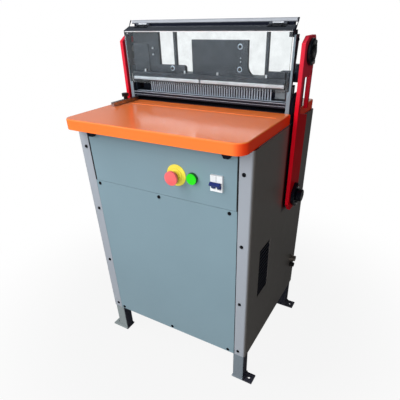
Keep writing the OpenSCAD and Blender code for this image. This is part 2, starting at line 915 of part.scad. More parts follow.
// Green lens with its barrel
module indicator_lamp() {
    at = [lamp_x, controls_z];
    color([0.20, 0.85, 0.15]) {
        rod_y(16.5, front_y - 3, front_y, at);
        rod_y(15.5, front_y - 10, front_y - 3, at);
        rod_y(11, front_y - cut, front_y + 36, at);
    }
}

// Two-pole breaker: nose through the panel, body behind it, two slots for the toggle's legs
module breaker_body() {
    x = breaker_x;
    z = controls_z;
    color([0.93, 0.93, 0.92]) difference() {
        union() {
            block([x - 18, front_y - 6, z - 22.5], [x + 18, front_y + sheet_t + cut, z + 22.5]);
            block([x - 18, front_y + sheet_t, z - 40], [x + 18, front_y + 60, z + 40]);
        }
        for (c = [x - 8.6, x + 8.6]) {
            block([c - 6.5, front_y - 6 - cut, z - 16], [c + 6.5, front_y + 8, z + 2]);
        }
    }
}

// Joined toggle of both poles, resting in its upper position
module breaker_toggle() {
    tilt = 50;
    color([0.10, 0.16, 0.42]) translate([breaker_x, front_y - 3.5, controls_z - 9]) rotate([-tilt, 0, 0]) {
        for (s = [-8.6, 8.6]) {
            rod_x(5, s - 6.1, s + 6.1, [0, 0]);
            block([s - 6.1, -13, -2.5], [s + 6.1, 0, 2.5]);
        }
        block([-16, -17, -7], [16, -12, 3.5]);
    }
}

module footswitch_socket() {
    color(bright) {
        rod_x(8.5, side_x - 4, side_x + cut, socket_at);
        rod_x(15, side_x, side_x + 4, socket_at);
        rod_x(11.5, side_x + 4, side_x + 20, socket_at);
    }
}

module cable_gland() {
    color(black) difference() {
        union() {
            rod_x(7.5, side_x - 4, side_x + cut, gland_at);
            translate([side_x, gland_at[0], gland_at[1]]) rotate([0, 90, 0]) cylinder(r = 12, h = 6, $fn = 6);
            rod_x(9, side_x + 6, side_x + 17, gland_at);
        }
        rod_x(4, side_x - 5, side_x + 18, gland_at);
    }
}

// Steel bar that lies on the table, square to the throat
module side_guide() {
    color(steel) difference() {
        block([guide_x0, stud_y - 66, table_top], [guide_x1, face_y - 4, table_top + guide_h]);
        translate([guide_x, stud_y, table_top - cut]) cylinder(r = stud_r + pin_gap, h = guide_h + 2 * cut);
    }
}

// Square nut under the table that the clamp knob draws up
module guide_nut() {
    half = 8;
    z1 = table_top - table_t - pin_gap;
    z0 = z1 - 7;
    color(steel) difference() {
        block([guide_x - half, stud_y - half, z0], [guide_x + half, stud_y + half, z1]);
        translate([guide_x, stud_y, z0 - cut]) cylinder(r = stud_r + run_gap, h = 7 + 2 * cut);
    }
}

// Knob with a stud through the side guide, and grip notches round its head
module clamp_knob() {
    z = table_top + guide_h;
    stud = guide_h + 12;
    notches = 8;
    translate([guide_x, stud_y, 0]) color(black) difference() {
        union() {
            translate([0, 0, z - stud]) cylinder(r = stud_r, h = stud + cut);
            translate([0, 0, z]) cylinder(r = 6.5, h = 8);
            translate([0, 0, z + 8]) cylinder(r = 11.5, h = 10);
        }
        for (i = [0 : notches - 1]) rotate(i * 360 / notches) {
            translate([13, 0, z + 7]) cylinder(r = 2.8, h = 12);
        }
    }
}

legs();
cross_rails();
side_rails();
side_panel_left();
side_panel_right();
control_panel();
access_panel();
rear_panel();
vent_grille();
front_table();
rear_table();
table_brackets();
panel_screws();
punch_side_left();
punch_side_right();
side_brackets();
die_bed();
die_plate();
guide_plate();
throat_stop();
ram_gibs();
top_beam();
hinge_rail();
hinge_pins();
shaft_bearings();
motor_shelf();
gear_motor();
drive_belt();
chip_bin();
estop_ring();
estop_switch();
indicator_lamp();
breaker_body();
footswitch_socket();
cable_gland();
ram_beam();
pin_retainer();
punch_pins();
press_bars();
ram_plate_left();
ram_plate_center();
ram_posts();
ram_lugs();
stub_axles();
arm_left();
arm_right();
arm_bearings();
ram_bolts();
main_shaft();
driven_pulley();
crank_caps();
drive_pulley();
guard_cover();
hinge_leaves();
estop_stem();
estop_head();
breaker_toggle();
side_guide();
guide_nut();
clamp_knob();
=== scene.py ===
"""Punch binding machine: camera, studio light, finishes and the small fittings of the dressed model."""

import json
import math

import bmesh
import bpy
from mathutils import Euler, Matrix, Vector


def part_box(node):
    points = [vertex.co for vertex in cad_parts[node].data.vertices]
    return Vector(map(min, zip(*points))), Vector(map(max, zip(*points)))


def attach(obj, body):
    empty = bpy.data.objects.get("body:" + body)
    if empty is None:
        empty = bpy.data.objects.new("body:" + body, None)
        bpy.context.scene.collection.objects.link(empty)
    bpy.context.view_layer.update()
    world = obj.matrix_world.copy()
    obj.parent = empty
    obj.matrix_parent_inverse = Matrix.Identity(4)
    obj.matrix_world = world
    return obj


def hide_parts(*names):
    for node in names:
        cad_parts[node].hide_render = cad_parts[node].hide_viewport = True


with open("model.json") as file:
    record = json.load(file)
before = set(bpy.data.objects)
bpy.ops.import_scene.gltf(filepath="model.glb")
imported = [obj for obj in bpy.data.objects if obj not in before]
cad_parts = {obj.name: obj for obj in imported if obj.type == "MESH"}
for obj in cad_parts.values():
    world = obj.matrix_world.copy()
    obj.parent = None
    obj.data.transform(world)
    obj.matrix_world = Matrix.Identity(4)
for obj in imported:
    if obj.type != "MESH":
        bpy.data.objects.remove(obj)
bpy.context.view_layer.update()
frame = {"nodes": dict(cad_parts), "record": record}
scene = bpy.context.scene
nodes = frame["nodes"]
slot_of = {s["node"]: s["material_slot"] for s in frame["record"]["subparts"]}
body_of = {n: b for b, members in frame["record"]["behaviour"]["bodies"].items() for n in members}
MM = 0.001

# Places in mm that several fittings share
FRONT_FACE, REAR_FACE = -250, 250
RAM_FRONT, BEAM_TOP = 22, 974
PIVOT_Y, PIVOT_Z, CRANK_Z = 62, 1037, 622
FORWARD, BACKWARD, UPWARD = (0, -1, 0), (0, 1, 0), (0, 0, 1)


def paint(red, green, blue):
    """Linear colour from a paint chart's 0 to 255 values."""
    parts = [v / 255 for v in (red, green, blue)]
    return tuple(v / 12.92 if v <= 0.04045 else ((v + 0.055) / 1.055) ** 2.4 for v in parts) + (1.0,)


# Camera and light

def place_camera():
    """Camera at the photograph's place, with its lens and shift for a square picture of 400 by 400."""
    focal, centre_x, centre_y, side = 360.04, 207.15, 248.28, 400
    data = bpy.data.cameras.new("photo_camera")
    data.sensor_width = 36
    data.lens = focal / side * data.sensor_width
    data.shift_x = (side / 2 - centre_x) / side
    data.shift_y = (centre_y - side / 2) / side
    data.clip_end = 100
    camera = bpy.data.objects.new("photo_camera", data)
    camera.location = (0.61415, -1.02964, 1.13167)
    camera.rotation_euler = Euler([math.radians(a) for a in (56.8053, 1.2998, 29.5330)])
    scene.collection.objects.link(camera)
    scene.camera = camera


def add(tree, kind, **values):
    """Adds a node and sets its properties and unlinked inputs."""
    node = tree.nodes.new(kind)
    for key, value in values.items():
        if key in node.bl_rna.properties:
            setattr(node, key, value)
        else:
            node.inputs[key.replace("_", " ")].default_value = value
    return node


def join(tree, source, target):
    """Links an output to an input."""
    tree.links.new(source, target)


def math_node(tree, operation, first, second):
    """Joins two values, or a value and a number, by a sum, product or comparison."""
    node = add(tree, "ShaderNodeMath", operation=operation)
    for socket, value in zip(node.inputs, (first, second)):
        if isinstance(value, (int, float)):
            socket.default_value = value
        else:
            join(tree, value, socket)
    return node.outputs[0]


def product(tree, *values):
    """Product of several values."""
    total = values[0]
    for value in values[1:]:
        total = math_node(tree, "MULTIPLY", total, value)
    return total


def spread(tree, value, low, high, to_low, to_high, soft=False):
    """Maps a value from one span to another, with soft ends if wanted."""
    remap = add(tree, "ShaderNodeMapRange", From_Min=low, From_Max=high, To_Min=to_low, To_Max=to_high)
    remap.interpolation_type = "SMOOTHSTEP" if soft else "LINEAR"
    join(tree, value, remap.inputs["Value"])
    return remap.outputs[0]


def straight_rays(tree):
    """1 for the rays that look straight at the background, also through the clear guard."""
    light = add(tree, "ShaderNodeLightPath")
    return math_node(tree, "MAXIMUM", light.outputs["Is Camera Ray"], light.outputs["Is Transmission Ray"])


def mixed(tree, share, first, second):
    """Shader that goes from the first to the second."""
    node = add(tree, "ShaderNodeMixShader")
    for socket, value in zip(node.inputs, (share, first, second)):
        join(tree, value, socket)
    return node.outputs[0]


def hang_world():
    """White surroundings. Soft light and mirrored light fade to the right. The table mirrors a bright
    row of windows behind the machine with a dark post at its left, bare metal the windows in front."""
    world = bpy.data.worlds.new("studio")
    world.use_nodes = True
    scene.world = world
    tree = world.node_tree
    tree.nodes.clear()
    out = add(tree, "ShaderNodeOutputWorld")
    direction = add(tree, "ShaderNodeTexCoord").outputs["Generated"]
    parts = add(tree, "ShaderNodeSeparateXYZ")
    join(tree, direction, parts.inputs[0])
    x, y, z = parts.outputs["X"], parts.outputs["Y"], parts.outputs["Z"]
    rightward = spread(tree, x, -0.1, 0.8, 0.34, 0.08, soft=True)
    upward = spread(tree, z, 0.2, 0.9, 1.0, 0.55, soft=True)
    soft = product(tree, rightward, upward)
    behind = spread(tree, y, 0.3, 0.6, 0.0, 1.0)
    post = product(tree, behind, spread(tree, x, -0.680, -0.660, 0.0, 1.0),
                   spread(tree, x, -0.635, -0.612, 1.0, 0.0))
    row = product(tree, behind, spread(tree, z, 0.220, 0.258, 0.0, 1.35, soft=True),
                  spread(tree, z, 0.32, 0.42, 1.0, 0.0, soft=True),
                  spread(tree, x, -0.63, -0.60, 0.0, 1.0), spread(tree, x, -0.32, -0.10, 1.0, 0.0))
    walls = product(tree, spread(tree, x, -0.1, 0.3, 1.0, 0.06, soft=True),
                    spread(tree, z, 0.3, 0.6, 0.40, 0.10, soft=True))
    level = math_node(tree, "ADD", row, product(tree, walls, math_node(tree, "SUBTRACT", 1.0, post)))
    # Each window: its direction, the cosines where it is full and where it ends, its strength
    windows = (
        ((-0.54, 0.80, 0.252), 0.9996, 0.9965, 0.75),
        ((-0.38, 0.886, 0.270), 0.9996, 0.9965, 0.75),
        ((-0.55, -0.62, 0.55), 0.960, 0.840, 0.70),
        ((-0.53, -0.84, -0.06), 0.970, 0.900, 0.12),
    )
    for aim, narrow, wide, strength in windows:
        towards = add(tree, "ShaderNodeVectorMath", operation="DOT_PRODUCT")
        join(tree, direction, towards.inputs[0])
        towards.inputs[1].default_value = Vector(aim).normalized()
        glow = spread(tree, towards.outputs["Value"], wide, narrow, 0.0, strength, soft=True)
        level = math_node(tree, "ADD", level, glow)
    shades = []
    for strength, color in ((soft, (0.98, 0.99, 1.0, 1)), (level, (0.86, 0.94, 1.0, 1))):
        shade = add(tree, "ShaderNodeBackground", Color=color)
        join(tree, strength, shade.inputs["Strength"])
        shades.append(shade.outputs[0])
    white = add(tree, "ShaderNodeBackground", Color=(1, 1, 1, 1), Strength=1.0)
    glossy = add(tree, "ShaderNodeLightPath").outputs["Is Glossy Ray"]
    lit = mixed(tree, glossy, *shades)
    join(tree, mixed(tree, straight_rays(tree), lit, white.outputs[0]), out.inputs[0])


def hang_lamp(name, place, aim, size, watts, color=(1, 1, 1)):
    """Soft box that lights the machine but is not seen or mirrored itself."""
    data = bpy.data.lights.new(name, "AREA")
    data.shape = "RECTANGLE"
    data.size, data.size_y = size
    data.energy = watts
    data.color = color
    lamp = bpy.data.objects.new(name, data)
    lamp.location = place
    lamp.rotation_euler = (Vector(aim) - Vector(place)).to_track_quat("-Z", "Y").to_euler()
    lamp.visible_camera = False
    lamp.visible_glossy = False
    scene.collection.objects.link(lamp)


def lay_floor():
    """Pale floor that keeps the machine's shadow and melts into the white surroundings."""
    shape = bmesh.new()
    bmesh.ops.create_circle(shape, cap_ends=True, segments=96, radius=9)
    bmesh.ops.translate(shape, verts=shape.verts, vec=(0, 0, -0.0005))
    mesh = bpy.data.meshes.new("floor")
    shape.to_mesh(mesh)
    shape.free()
    floor = bpy.data.objects.new("floor", mesh)
    scene.collection.objects.link(floor)
    finish = bpy.data.materials.new("pale_floor")
    finish.use_nodes = True
    tree = finish.node_tree
    tree.nodes.clear()
    out = add(tree, "ShaderNodeOutputMaterial")
    place = add(tree, "ShaderNodeTexCoord")
    distance = add(tree, "ShaderNodeVectorMath", operation="LENGTH")
    join(tree, place.outputs["Object"], distance.inputs[0])
    fade = spread(tree, distance.outputs["Value"], 0.45, 1.3, 0.90, 1.0, soft=True)
    share = product(tree, straight_rays(tree), fade)
    matte = add(tree, "ShaderNodeBsdfDiffuse", Color=(0.24, 0.24, 0.24, 1))
    white = add(tree, "ShaderNodeEmission", Color=(1, 1, 1, 1), Strength=1.0)
    join(tree, mixed(tree, share, matte.outputs[0], white.outputs[0]), out.inputs[0])
    mesh.materials.append(finish)


# Shared surface effects

def surface_group(name, extra_inputs=()):
    """Empty shader group with the sockets that every surface effect has."""
    group = bpy.data.node_groups.new(name, "ShaderNodeTree")
    sockets = [("Color", "NodeSocketColor", (0.5, 0.5, 0.5, 1)), ("Roughness", "NodeSocketFloat", 0.4),
               *extra_inputs]
    for label, kind, value in sockets:
        group.interface.new_socket(label, in_out="INPUT", socket_type=kind).default_value = value
    for label, kind in (("Color", "NodeSocketColor"), ("Roughness", "NodeSocketFloat"),
                        ("Height", "NodeSocketFloat")):
        group.interface.new_socket(label, in_out="OUTPUT", socket_type=kind)
    return group, add(group, "NodeGroupInput"), add(group, "NodeGroupOutput")


def noise(tree, vector, scale, detail=2.0, rough=0.5):
    """Uneven value from 0 to 1, finer with a larger scale."""
    texture = add(tree, "ShaderNodeTexNoise", Scale=scale, Detail=detail, Roughness=rough)
    join(tree, vector, texture.inputs["Vector"])
    return texture.outputs["Fac"]


def tinted(tree, color, value):
    """Colour made lighter or darker by a factor."""
    shade = add(tree, "ShaderNodeHueSaturation")
    join(tree, color, shade.inputs["Color"])
    join(tree, value, shade.inputs["Value"])
    return shade.outputs["Color"]


def sprayed_paint():
    """Sprayed and baked paint: fine orange peel, cloudy tone, wiped smears, and dust towards the floor."""
    group, given, out = surface_group("sprayed_paint", [("Dust", "NodeSocketFloat", 0.0)])
    place = add(group, "ShaderNodeTexCoord").outputs["Object"]
    cloud = noise(group, place, 4.0, 3.0)
    smear = noise(group, place, 24.0, 5.0, 0.62)
    peel = noise(group, place, 620.0, 1.0)
    low = spread(group, place_parts(group)[2], 0.0, 0.32, 1.0, 0.0)
    speckle = spread(group, noise(group, place, 130.0, 4.0, 0.7), 0.4, 0.75, 0.1, 1.0)
    dusty = product(group, low, speckle, given.outputs["Dust"])
    tone = spread(group, cloud, 0.3, 0.7, 0.975, 1.025)
    coat = tinted(group, given.outputs["Color"], tone)
    join(group, two_colors(group, dusty, coat, (0.35, 0.33, 0.30, 1)), out.inputs["Color"])
    worn = spread(group, smear, 0.3, 0.7, -0.02, 0.03)
    rough = math_node(group, "ADD", given.outputs["Roughness"], worn)
    join(group, math_node(group, "ADD", rough, dusty), out.inputs["Roughness"])
    join(group, peel, out.inputs["Height"])
    return group


def drawn_metal():
    """Ground or drawn metal: hair lines along the grain, darker oil stains, uneven polish."""
    group, given, out = surface_group("drawn_metal", [("Grain", "NodeSocketVector", (4, 260, 260)),
                                                      ("Stain", "NodeSocketFloat", 0.3)])
    place = add(group, "ShaderNodeTexCoord").outputs["Object"]
    stretch = add(group, "ShaderNodeMapping")
    join(group, place, stretch.inputs["Vector"])
    join(group, given.outputs["Grain"], stretch.inputs["Scale"])
    hair = noise(group, stretch.outputs[0], 4.0, 3.0, 0.6)
    blotch = noise(group, place, 38.0, 4.0, 0.6)
    stain = product(group, spread(group, blotch, 0.45, 0.75, 0.0, -0.6), given.outputs["Stain"])
    tone = math_node(group, "ADD", spread(group, hair, 0.3, 0.7, 0.86, 1.1), stain)
    join(group, tinted(group, given.outputs["Color"], tone), out.inputs["Color"])
    rough = math_node(group, "ADD", given.outputs["Roughness"], spread(group, hair, 0.3, 0.7, -0.07, 0.1))
    join(group, rough, out.inputs["Roughness"])
    join(group, hair, out.inputs["Height"])
    return group


def moulded_skin():
    """Moulded plastic, rubber or casting skin: fine grain with faint flow marks."""
    group, given, out = surface_group("moulded_skin", [("Grain", "NodeSocketFloat", 900.0)])
    place = add(group, "ShaderNodeTexCoord").outputs["Object"]
    grain = add(group, "ShaderNodeTexNoise", Detail=2.0, Roughness=0.6)
    join(group, place, grain.inputs["Vector"])
    join(group, given.outputs["Grain"], grain.inputs["Scale"])
    flow = noise(group, place, 45.0, 3.0)
    tone = spread(group, flow, 0.3, 0.7, 0.93, 1.07)
    join(group, tinted(group, given.outputs["Color"], tone), out.inputs["Color"])
    rough = math_node(group, "ADD", given.outputs["Roughness"], spread(group, flow, 0.3, 0.7, -0.04, 0.06))
    join(group, rough, out.inputs["Roughness"])
    join(group, grain.outputs["Fac"], out.inputs["Height"])
    return group


def coated(name, group, color, roughness, bump=0.1, metallic=0.0, gloss=0.5, **layer_values):
    """Material of one surface effect on one Principled shader."""
    finish = bpy.data.materials.new(name)
    finish.use_nodes = True
    tree = finish.node_tree
    shader = tree.nodes["Principled BSDF"]
    shader.inputs["Metallic"].default_value = metallic
    shader.inputs["Specular IOR Level"].default_value = gloss
    layer = add(tree, "ShaderNodeGroup", node_tree=group, Color=color, Roughness=roughness, **layer_values)
    relief = add(tree, "ShaderNodeBump", Strength=bump, Distance=0.2 * MM)
    join(tree, layer.outputs["Color"], shader.inputs["Base Color"])
    join(tree, layer.outputs["Roughness"], shader.inputs["Roughness"])
    join(tree, layer.outputs["Height"], relief.inputs["Height"])
    join(tree, relief.outputs[0], shader.inputs["Normal"])
    return finish


def place_parts(tree):
    """X, Y and Z of the surface point, in metres of the shared frame."""
    parts = add(tree, "ShaderNodeSeparateXYZ")
    join(tree, add(tree, "ShaderNodeTexCoord").outputs["Object"], parts.inputs[0])
    return parts.outputs["X"], parts.outputs["Y"], parts.outputs["Z"]


def two_colors(tree, share, first, second):
    """Colour that goes from the first to the second; each is a colour or another node's output."""
    tone = add(tree, "ShaderNodeMix", data_type="RGBA")
    join(tree, share, tone.inputs[0])
    for socket, color in ((tone.inputs[6], first), (tone.inputs[7], second)):
        if isinstance(color, tuple):
            socket.default_value = color
        else:
            join(tree, color, socket)
    return tone.outputs[2]


def recolor(finish, color):
    """Feeds a colour made from other nodes to the finish's surface effect."""
    tree = finish.node_tree
    layer = next(n for n in tree.nodes if n.type == "GROUP")
    join(tree, color, layer.inputs["Color"])
    return finish


def clear_sheet(group):
    """Clear sheet with a faint tint and wiped smears; a pale line, which is a painted highlight, and a dark
    band run along its bend.
    """
    finish = coated("clear_guard", group, (0.885, 0.925, 0.935, 1), 0.05, bump=0.02)
    tree = finish.node_tree
    shader = tree.nodes["Principled BSDF"]
    shader.inputs["Transmission Weight"].default_value = 1.0
    shader.inputs["IOR"].default_value = 1.49
    light = add(tree, "ShaderNodeLightPath")
    passing = add(tree, "ShaderNodeBsdfTransparent", Color=(0.90, 0.93, 0.94, 1))
    surface = mixed(tree, light.outputs["Is Shadow Ray"], shader.outputs[0], passing.outputs[0])
    height = place_parts(tree)[2]
    highlight_low, bend, upper_edge, blur = 1.0862, 1.0884, 1.1050, 0.0003
    # The pale band just below the bend is a painted highlight.
    for low, high, share, color in ((highlight_low, bend, 0.7, (0.80, 0.83, 0.86, 1)),
                                    (bend, upper_edge, 0.80, (0.040, 0.045, 0.055, 1))):
        band = product(tree, spread(tree, height, low, low + blur, 0.0, share),
                       spread(tree, height, high - blur, high, 1.0, 0.0))
        shade = add(tree, "ShaderNodeBsdfDiffuse", Color=color)
        surface = mixed(tree, band, surface, shade.outputs[0])
    join(tree, surface, tree.nodes["Material Output"].inputs["Surface"])
    return finish


def sides_with_painted_shade(group):
    """Side panels: pale grey on the front and rear flanges, painted shade in dark grey once round the bend,
    and a painted shadow in black under the arms."""
    pale = paint(160, 166, 175)
    finish = coated("side_grey", group, pale, 0.30, bump=0.06, Dust=0.15)
    tree = finish.node_tree
    x, y, z = place_parts(tree)
    out = math_node(tree, "ABSOLUTE", x, 0)
    bend, arm_front, arm_back, arm_low = (0.2862, 0.2946), (-0.008, 0.001), (0.106, 0.114), (0.574, 0.582)
    # Painted shade: past the bend the same sheet takes a darker grey than its flanges.
    share = spread(tree, out, *bend, 0.0, 1.0, soft=True)
    lit_and_shaded_tones = two_colors(tree, share, pale, paint(98, 94, 90))
    # Painted shadow: the panel turns black behind and just in front of each arm, above the arm's lower end.
    painted_gap_shadow = product(tree, share, spread(tree, y, *arm_front, 0.0, 1.0, soft=True),
                     spread(tree, y, *arm_back, 1.0, 0.0, soft=True),
                     spread(tree, z, *arm_low, 0.0, 1.0, soft=True))
    return recolor(finish, two_colors(tree, painted_gap_shadow, lit_and_shaded_tones, paint(10, 10, 12)))


def plate_finish(group):
    """Side plates of the punch unit: pale on the front edge, with painted shade making the flanks dark."""
    pale = paint(116, 130, 140)
    finish = coated("plate_blue", group, pale, 0.42, bump=0.12)
    tree = finish.node_tree
    front_edge = (0.0128, 0.0136)
    share = spread(tree, place_parts(tree)[1], *front_edge, 0.0, 1.0)
    # Painted shade: everything behind the front edge is dark.
    return recolor(finish, two_colors(tree, share, pale, paint(34, 38, 48)))


def table_finish(group):
    """Orange tables: a clear coat over a slightly paler top, and painted shade giving the right-hand lip a
    deeper red.
    """
    orange = paint(250, 124, 58)
    finish = coated("table_orange", group, orange, 0.24, bump=0.08, gloss=0.1)
    tree = finish.node_tree
    x, _, z = place_parts(tree)
    top_rim, shaded_lip_corner = (0.8822, 0.8838), (0.255, 0.29)
    top = spread(tree, z, *top_rim, 0.0, 1.0)
    below = math_node(tree, "SUBTRACT", 1.0, top)
    # Painted shade: the lip turns a deeper red round the right-hand corner.
    turn = product(tree, spread(tree, x, *shaded_lip_corner, 0.0, 1.0, soft=True), below)
    rims = two_colors(tree, turn, orange, paint(250, 62, 24))
    recolor(finish, two_colors(tree, top, rims, paint(250, 128, 62)))
    shader = tree.nodes["Principled BSDF"]
    shader.inputs["Coat Roughness"].default_value = 0.18
    join(tree, top, shader.inputs["Coat Weight"])
    return finish


def leg_finish(group):
    """Legs: grey, with painted light making them palest on the left, and painted shade darkening the rear
    legs, the right-hand feet and the faces that look to the right."""
    grey = paint(116, 127, 136)
    finish = coated("leg_grey", group, grey, 0.42, bump=0.12, gloss=0.3, Dust=0.2)
    tree = finish.node_tree
    x, y, _ = place_parts(tree)
    left_face, right_face, between = (-0.2506, -0.2502), (0.2894, 0.2898), (0.10, 0.11)
    # Painted shade: dark on the right-facing faces of all legs, on the right-hand feet and on the rear
    # legs.
    inner = product(tree, spread(tree, x, *left_face, 0.0, 1.0), spread(tree, x, *between, 1.0, 0.0))
    shaded_sides = math_node(tree, "MAXIMUM", inner, spread(tree, x, *right_face, 0.0, 1.0))
    dark = math_node(tree, "MAXIMUM", shaded_sides, spread(tree, y, *between, 0.0, 1.0))
    # Painted light: the grey grows paler towards the left.
    lit_and_shaded_tones = two_colors(tree, spread(tree, x, -0.25, 0.25, 0.0, 1.0), paint(138, 148, 150), grey)
    return recolor(finish, two_colors(tree, dark, lit_and_shaded_tones, paint(24, 28, 46)))


def hinge_finish(group):
    """Hinge leaves: a painted highlight bright along the top of the pin, blackened on the plates and the
    strip.
    """
    dark = paint(26, 28, 34)
    finish = coated("hinge_leaf", group, dark, 0.34, bump=0.10, metallic=0.5, Stain=0.1)
    tree = finish.node_tree
    _, y, z = place_parts(tree)
    pin_front, pin_top = (0.0335, 0.0345), (1.1050, 1.1058)
    # Painted highlight: the upper side of the pin is bright.
    share = product(tree, spread(tree, y, *pin_front, 0.0, 1.0), spread(tree, z, *pin_top, 0.0, 1.0))
    return recolor(finish, two_colors(tree, share, dark, paint(226, 230, 236)))


def rail_finish(group):
    """Hinge rail: bright in its upper half, duller on the top edge, dark below."""
    pale = paint(192, 196, 204)
    finish = coated("rail_silver", group, pale, 0.36, bump=0.10, metallic=0.4, Stain=0.1)
    tree = finish.node_tree
    height = place_parts(tree)[2]
    lower_end, top_edge = (1.1088, 1.1102), (1.1148, 1.1160)
    share = product(tree, spread(tree, height, *lower_end, 0.0, 1.0),
                    spread(tree, height, *top_edge, 1.0, 0.6))
    return recolor(finish, two_colors(tree, share, paint(78, 82, 90), pale))


def arm_finish(group):
    """Arms: deep red, with painted shade deepest on the outer faces and a paler painted reflection over the
    table.
    """
    red = paint(204, 14, 32)
    finish = coated("arm_red", group, red, 0.30, bump=0.10, gloss=0.02)
    tree = finish.node_tree
    x, _, z = place_parts(tree)
    outer_face, reflection_heights = (0.3108, 0.3113), (0.89, 0.96)
    # Painted shade: the outer faces take a deeper red.
    painted_outer_shade = spread(tree, math_node(tree, "ABSOLUTE", x, 0), *outer_face, 0.0, 1.0)
    lit_and_shaded_tones = two_colors(tree, painted_outer_shade, red, paint(184, 6, 20))
    # Painted reflection: the red turns paler and pinker higher up, over the table.
    painted_reflection = spread(tree, z, *reflection_heights, 0.0, 1.0, soft=True)
    return recolor(finish, two_colors(tree, painted_reflection, lit_and_shaded_tones, paint(206, 44, 62)))


def lit_lens(group):
    """Lens of the lamp, which is on: its face glows, and painted shade keeps its rim a darker green."""
    green = paint(36, 190, 20)
    finish = coated("lamp_green", group, green, 0.34, bump=0.03)
    tree = finish.node_tree
    shader = tree.nodes["Principled BSDF"]
    front_rim = (-0.2592, -0.2580)
    face = spread(tree, place_parts(tree)[1], *front_rim, 1.0, 0.0)
    # Painted shade: the rim is a darker green than the face.
    recolor(finish, two_colors(tree, face, paint(14, 96, 30), green))
    join(tree, two_colors(tree, face, (0, 0, 0, 1), paint(40, 215, 25)), shader.inputs["Emission Color"])
    shader.inputs["Emission Strength"].default_value = 0.28
    return finish


def mix_finishes():
    """One finish for each material slot of the record, and those that a few nodes have of their own."""
    spray, drawn, skin = sprayed_paint(), drawn_metal(), moulded_skin()
    return {
        "frame_grey": coated("frame_grey", spray, paint(116, 126, 134), 0.42, 0.12, gloss=0.3, Dust=0.25),
        "leg_grey": leg_finish(spray),
        "side_grey": sides_with_painted_shade(spray),
        "panel_blue": coated("panel_blue", spray, paint(127, 151, 162), 0.42, 0.12, Dust=0.1),
        "table_orange": table_finish(spray),
        "arm_red": arm_finish(spray),
        "slate_paint": coated("slate_paint", spray, paint(18, 27, 37), 0.42, 0.12),
        "black_paint": coated("black_paint", spray, paint(15, 18, 32), 0.42, 0.15, gloss=0.2),
        "black_iron": coated("black_iron", skin, paint(7, 9, 18), 0.18, 0.2, gloss=0.4, Grain=420.0),
        "black_screws": coated("black_screws", skin, paint(11, 12, 16), 0.40, 0.1, gloss=0.2),
        "black_plastic": coated("black_plastic", skin, paint(18, 18, 19), 0.42, 0.2),
        "ground_steel": coated("ground_steel", drawn, paint(182, 180, 180), 0.27, 0.12, metallic=1.0),
        "pin_steel": coated("pin_steel", drawn, paint(176, 188, 202), 0.38, 0.10, metallic=0.2,
                            Grain=(300, 300, 8)),
        "hinge_leaf": hinge_finish(drawn),
        "plate_blue": plate_finish(spray),
        "blued_steel": coated("blued_steel", drawn, paint(30, 33, 41), 0.34, 0.10, gloss=0.15, Stain=0.15),
        "worn_steel": coated("worn_steel", drawn, paint(150, 156, 162), 0.42, 0.12, gloss=0.2,
                             Grain=(300, 300, 8), Stain=0.6),
        "bright_aluminium": coated("bright_aluminium", drawn, paint(214, 218, 224), 0.34, 0.10,
                                   metallic=1.0, Stain=0.1),
        "rail_silver": rail_finish(drawn),
        "galvanised": coated("galvanised", drawn, paint(176, 180, 184), 0.40, 0.12, metallic=1.0),
        "belt_rubber": coated("belt_rubber", skin, paint(20, 20, 20), 0.70, 0.4),
        "clear_guard": clear_sheet(skin),
        # Painted highlight: the stop head's red is lightened towards pink all over.
        "stop_red": coated("stop_red", skin, paint(250, 108, 110), 0.42, 0.05),
        "stop_yellow": coated("stop_yellow", skin, paint(246, 228, 88), 0.38, 0.06),
        "lamp_green": lit_lens(skin),
        "breaker_white": coated("breaker_white", skin, paint(238, 240, 243), 0.40, 0.08),
        "toggle_navy": coated("toggle_navy", skin, paint(24, 42, 108), 0.32, 0.06),
        "nickel": coated("nickel", drawn, paint(214, 202, 190), 0.26, 0.06, metallic=1.0,
                         Grain=(90, 90, 90)),
    }


# Pieces

def keep_piece(shape, name, slot, body, *stands_for, angle=35, finish=None):
    """Turns a bmesh into a named piece with its slot's finish or its own, and lets it ride on its body."""
    mesh = bpy.data.meshes.new(name)
    shape.normal_update()
    shape.to_mesh(mesh)
    shape.free()
    mesh.materials.append(finishes[finish or slot])
    mesh.shade_smooth()
    mesh.set_sharp_from_angle(angle=math.radians(angle))
    item = bpy.data.objects.new(name, mesh)
    scene.collection.objects.link(item)
    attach(item, body)
    if stands_for:
        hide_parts(*stands_for)
    return item


def rounded(shape, edges, radius, segments, clamp=False):
    """Rounds edges of a bmesh by a radius in mm."""
    bmesh.ops.bevel(shape, geom=edges, offset=radius * MM, offset_type="OFFSET", segments=segments,
                    profile=0.5, affect="EDGES", clamp_overlap=clamp, material=-1)


def any_edge(edge):
    """Every hard edge of a node."""
    return True


def eased(node, *passes):
    """Copy of a node with its hard edges rounded. Each pass is (radius in mm, segments, which edges)."""
    shape = bmesh.new()
    shape.from_mesh(nodes[node].data)
    bmesh.ops.remove_doubles(shape, verts=shape.verts, dist=1e-6)
    bmesh.ops.dissolve_limit(shape, angle_limit=math.radians(0.5), verts=shape.verts, edges=shape.edges)
    for radius, segments, wanted in passes:
        hard = [e for e in shape.edges
                if e.is_manifold and e.calc_face_angle() > math.radians(40) and wanted(e)]
        rounded(shape, hard, radius, segments, clamp=True)
    item = keep_piece(shape, node + "_eased", slot_of[node], body_of[node], node, angle=60,
                      finish=own_finish.get(node))
    item.modifiers.new("flat_faces", "WEIGHTED_NORMAL").keep_sharp = True
    return item


